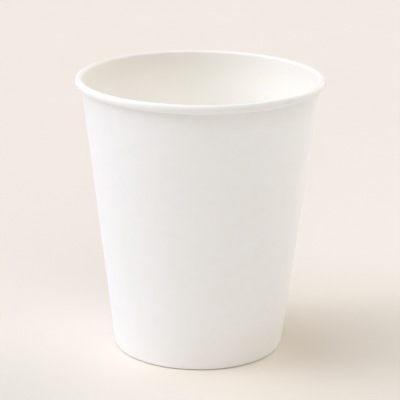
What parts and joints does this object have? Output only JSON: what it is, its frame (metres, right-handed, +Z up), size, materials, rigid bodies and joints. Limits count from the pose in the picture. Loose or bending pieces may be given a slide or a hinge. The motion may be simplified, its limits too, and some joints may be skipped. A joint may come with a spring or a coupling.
{
  "type": "paper cold cup",
  "caption": "Plain white tapered paper cup with a rolled rim, a lapped side seam and a board disc hemmed into its foot",
  "frame": {"origin": "middle of the foot, on the surface that the cup stands on", "axes": "+Z up along the cup's axis, out of its mouth; +X to the right and +Y away from the front view; the side seam lies on the right across +X, from 9 degrees before it to 5 degrees past it towards +Y"},
  "size_m": [0.08, 0.08, 0.0904],
  "materials": {
    "wall_board": "bleached paperboard, coated on both faces, smooth and satin",
    "bottom_board": "bleached paperboard, coated on both faces, smooth and satin"
  },
  "bodies": {
    "root": {"side_wall": "wall_board", "bottom_disc": "bottom_board"}
  },
  "joints": []
}
